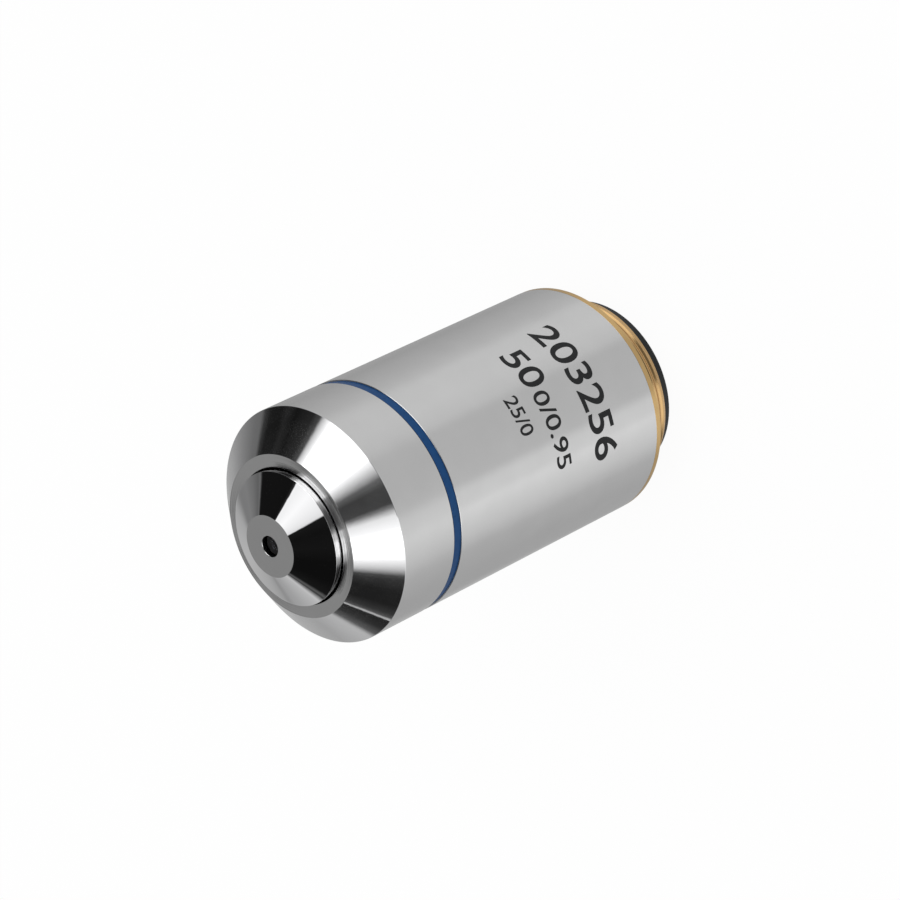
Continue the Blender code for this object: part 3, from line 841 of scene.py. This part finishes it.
CARRIED_OVER = {
    "lens_barrel": cell_brass,
    "meniscus_cell": flat_black_and_painted_shade,
    "front_doublet_cell": cell_brass,
    "middle_doublet_cell": cell_brass,
    "triplet_cell": cell_brass,
    "rear_doublet_cell": cell_brass,
    "aperture_stop": flat_black_and_painted_shade,
    "spacer_tube": flat_black_and_painted_shade,
    "parfocal_shim": bright_steel,
    "guide_screw": bright_steel,
    "centring_screw_1": bright_steel,
    "centring_screw_2": bright_steel,
    "centring_screw_3": bright_steel,
}
for node_name, node_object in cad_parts.items():
    if node_object.hide_render:
        continue
    material = CARRIED_OVER.get(node_name, coated_glass)
    node_object.data.materials.clear()
    node_object.data.materials.append(material)


# studio


def photo_camera():
    """The camera of the photograph, placed from the barrel's shoulder."""
    camera = bpy.data.objects.new("camera", bpy.data.cameras.new("camera"))
    bpy.context.scene.collection.objects.link(camera)
    camera.data.lens = CAMERA_LENS
    camera.data.sensor_width = SENSOR_WIDTH
    camera.data.clip_start = 0.01
    camera.data.clip_end = 50
    shoulder = Vector((0, 0, SHOULDER_Z))
    offset = (
        VIEW_RIGHT * CAMERA_TO_SHOULDER.x
        + VIEW_DOWN * CAMERA_TO_SHOULDER.y
        + VIEW_FORWARD * CAMERA_TO_SHOULDER.z
    )
    matrix = Matrix((VIEW_RIGHT, -VIEW_DOWN, -VIEW_FORWARD)).transposed().to_4x4()
    matrix.translation = (shoulder - offset) * MM
    camera.matrix_world = matrix
    bpy.context.scene.camera = camera


# Light and dark cards round the set, as brightness against azimuth in degrees, 0 at the front. Each
# table is for surfaces of another slope: the upright barrel, the broken edges and screw flanks, the
# wide cone, the steep nose and the flat ring. The stops were typed and corrected until the render
# followed the brightness that was measured round these surfaces in the photograph.
BARREL_CARDS = [
    (-180, 0.55), (-95, 0.60), (-84, 0.58), (-75, 0.49), (-60, 0.54), (-46, 0.63), (-38, 0.82),
    (-30, 0.95), (-25, 1.04), (-22, 0.94), (-16, 0.92), (-12, 0.72), (0, 0.69), (14, 0.68),
    (18, 0.79), (28, 0.85), (42, 0.82), (47, 0.71), (52, 0.65), (62, 0.55), (72, 0.46), (90, 0.46),
    (180, 0.55),
]
EDGE_CARDS = [
    (-180, 0.30), (-95, 0.45), (-85, 0.25), (-60, 0.25), (-46, 0.25), (-40, 0.80), (-34, 1.40),
    (-14, 1.30), (-12.5, 0.18), (15, 0.18), (17, 1.30), (42, 1.50), (46, 0.80), (49, 0.15),
    (80, 0.12), (90, 0.20), (180, 0.30),
]
CONE_CARDS = [
    (-180, 0.10), (-168, 0.10), (-157, 0.50), (-140, 0.49), (-110, 0.44), (-91.5, 0.60),
    (-90, 0.56), (-86.5, 0.13), (-80, 0.037), (-72.8, 0.021), (-72.4, 0.62), (-71.6, 0.56),
    (-70.8, 0.11), (-68, 0.045), (-62, 0.018), (-52, 0.018), (-46, 0.038), (-43.5, 0.085),
    (-39.4, 0.77), (-34.5, 1.35), (-32, 2.80), (-21, 2.80), (-18.5, 1.40), (-12.4, 1.09),
    (-8.3, 0.23), (-6.2, 0.065), (2, 0.06), (6.2, 0.15), (12.4, 0.95), (15.5, 1.40), (18, 2.80),
    (42, 2.80), (43.9, 1.35), (47.3, 0.76), (49.3, 0.08), (53.7, 0.025), (64, 0.010), (70, 0.023),
    (74, 0.012), (82.6, 0.015), (86.8, 0.047), (90, 0.175), (95, 0.19), (124, 0.40), (145, 0.46),
    (149.5, 0.52), (162, 0.14), (180, 0.10),
]
NOSE_CARDS = [
    (-180, 0.52), (-150, 0.48), (-141, 0.47), (-130, 0.42), (-126.5, 0.365), (-123.5, 0.36),
    (-121, 0.40), (-117, 0.45), (-111, 0.475), (-99, 0.57), (-91.5, 0.64), (-87.8, 0.72),
    (-81.6, 0.06), (-81, 0.06), (-79.2, 0.13), (-78.4, 0.12), (-75.2, 0.012), (-60, 0.006),
    (-40, 0.006), (-24, 0.010), (-8, 0.008), (3.0, 0.012), (4.3, 1.0), (9, 1.13), (14, 1.22),
    (25, 1.36), (37, 1.23), (40.0, 1.25), (41.0, 0.03), (44, 0.008), (80.4, 0.009), (81.5, 0.03),
    (84, 0.195), (87, 0.153), (95.6, 0.21), (108, 0.265), (119, 0.25), (123, 0.26), (130.3, 0.375),
    (134.4, 0.43), (140, 0.475), (160, 0.50), (180, 0.52),
]
RING_CARDS = [
    (-180, 0.38), (-80, 0.38), (-60, 0.30), (-44, 0.17), (-38, 0.17), (-30, 0.40), (-20, 0.50),
    (-14, 0.40), (-11, 0.33), (-9.5, 0.02), (16, 0.02), (21, 0.42), (38, 0.39), (42, 0.17),
    (52, 0.18), (62, 0.33), (80, 0.38), (180, 0.38),
]
# Where each table takes over from the one before, as the height of the half-way direction. The cards
# stay where they are when the camera moves, but they are laid out for the photograph's view.
CARDS_BY_SLOPE = [
    (0.30, 0.45, EDGE_CARDS),
    (0.62, 0.70, CONE_CARDS),
    (0.782, 0.797, NOSE_CARDS),
    (0.895, 0.915, RING_CARDS),
]
# The card straight overhead, which a level mirror sees, the even light on matt surfaces, and the
# share of its own light in the table
TOP_FROM, TOP_TO = 0.9990, 0.9996
TOP_LEVEL = 0.38
FILL_LEVEL = 0.78
GLOW_SHARE = 0.95


def studio_world():
    """White where the camera looks past the object. Metal and glass see the light and dark cards,
    which are placed by the tilt of the surface that would mirror them to the photograph's camera:
    half way between the direction to the card and the direction to that camera."""
    world = bpy.data.worlds.new("studio")
    bpy.context.scene.world = world
    world.use_nodes = True
    tree = world.node_tree
    tree.nodes.clear()
    direction = add_node(tree, "ShaderNodeTexCoord").outputs["Generated"]
    front = -VIEW_FORWARD
    summed = add_node(tree, "ShaderNodeVectorMath", {0: direction, 1: front}, operation="ADD")
    half = add_node(tree, "ShaderNodeVectorMath", {0: summed.outputs[0]}, operation="NORMALIZE")
    parts = add_node(tree, "ShaderNodeSeparateXYZ", {"Vector": half.outputs[0]}).outputs
    away = add_node(tree, "ShaderNodeMath", {0: parts["Y"], 1: -1.0}, operation="MULTIPLY")
    azimuth = add_node(
        tree, "ShaderNodeMath", {0: parts["X"], 1: away.outputs[0]}, operation="ARCTAN2"
    )

    def cards(stops):
        """The brightness against azimuth: the first level, then a ramp from stop to stop."""
        level = stops[0][1]
        for (start, low), (end, high) in zip(stops, stops[1:]):
            ramp = add_node(
                tree,
                "ShaderNodeMapRange",
                {
                    "Value": azimuth.outputs[0],
                    "From Min": math.radians(start),
                    "From Max": math.radians(end),
                    "To Max": high - low,
                },
            )
            level = add_node(tree, "ShaderNodeMath", {0: level, 1: ramp.outputs[0]}).outputs[0]
        return level

    def between(low, high):
        """How far the mirroring tilt is from low to high, as a smooth step from 0 to 1."""
        return add_node(
            tree,
            "ShaderNodeMapRange",
            {"Value": parts["Z"], "From Min": low, "From Max": high},
            interpolation_type="SMOOTHSTEP",
        ).outputs[0]

    def blended(factor, first, second):
        """The first colour, turning into the second by the factor."""
        return add_node(
            tree, "ShaderNodeMix", {0: factor, 6: first, 7: second}, data_type="RGBA"
        ).outputs[2]

    seen = cards(BARREL_CARDS)
    for low, high, stops in CARDS_BY_SLOPE:
        seen = blended(between(low, high), seen, cards(stops))
    top = (TOP_LEVEL, TOP_LEVEL, TOP_LEVEL, 1.0)
    seen = blended(between(TOP_FROM, TOP_TO), seen, top)
    rays = add_node(tree, "ShaderNodeLightPath").outputs
    mirrored = add_node(
        tree,
        "ShaderNodeMath",
        {0: rays["Is Glossy Ray"], 1: rays["Is Transmission Ray"]},
        operation="MAXIMUM",
    )
    fill = (FILL_LEVEL, FILL_LEVEL, FILL_LEVEL, 1.0)
    colour = blended(mirrored.outputs[0], fill, seen)
    colour = blended(rays["Is Camera Ray"], colour, (1.0, 1.0, 1.0, 1.0))
    background = add_node(tree, "ShaderNodeBackground", {"Color": colour, "Strength": 1.0})
    output = add_node(tree, "ShaderNodeOutputWorld")
    tree.links.new(background.outputs[0], output.inputs["Surface"])


def studio_floor():
    """A plain white table. It keeps a faint shadow, and metal sees the cards through it."""
    material, tree, output = blank_material("white_table")
    glow = add_node(tree, "ShaderNodeEmission", {"Color": (1, 1, 1, 1), "Strength": 1.0})
    paper = add_node(tree, "ShaderNodeBsdfDiffuse", {"Color": (0.92, 0.92, 0.92, 1)})
    rays = add_node(tree, "ShaderNodeLightPath").outputs
    share = add_node(
        tree, "ShaderNodeMath", {0: rays["Is Camera Ray"], 1: GLOW_SHARE}, operation="MULTIPLY"
    )
    mixed = add_node(
        tree,
        "ShaderNodeMixShader",
        {0: share.outputs[0], 1: paper.outputs[0], 2: glow.outputs[0]},
    )
    tree.links.new(mixed.outputs[0], output.inputs["Surface"])
    mesh = bpy.data.meshes.new("table")
    reach = 3.0
    mesh.from_pydata(
        [(-reach, -reach, 0), (reach, -reach, 0), (reach, reach, 0), (-reach, reach, 0)],
        [],
        [(0, 1, 2, 3)],
    )
    mesh.materials.append(material)
    table = bpy.data.objects.new("table", mesh)
    bpy.context.scene.collection.objects.link(table)
    table.visible_glossy = False
    table.visible_transmission = False


def soft_lamp(name, direction, strength, angle):
    """A broad soft light from a direction."""
    light = bpy.data.lights.new(name, "SUN")
    light.energy = strength
    light.angle = math.radians(angle)
    lamp = bpy.data.objects.new(name, light)
    bpy.context.scene.collection.objects.link(lamp)
    lamp.rotation_euler = Vector(direction).to_track_quat("Z", "Y").to_euler()
    lamp.visible_glossy = False


photo_camera()
studio_world()
studio_floor()
soft_lamp("key_light", direction=(0.5, -0.6, 0.9), strength=0.7, angle=50)
bpy.context.scene.view_settings.view_transform = "Standard"
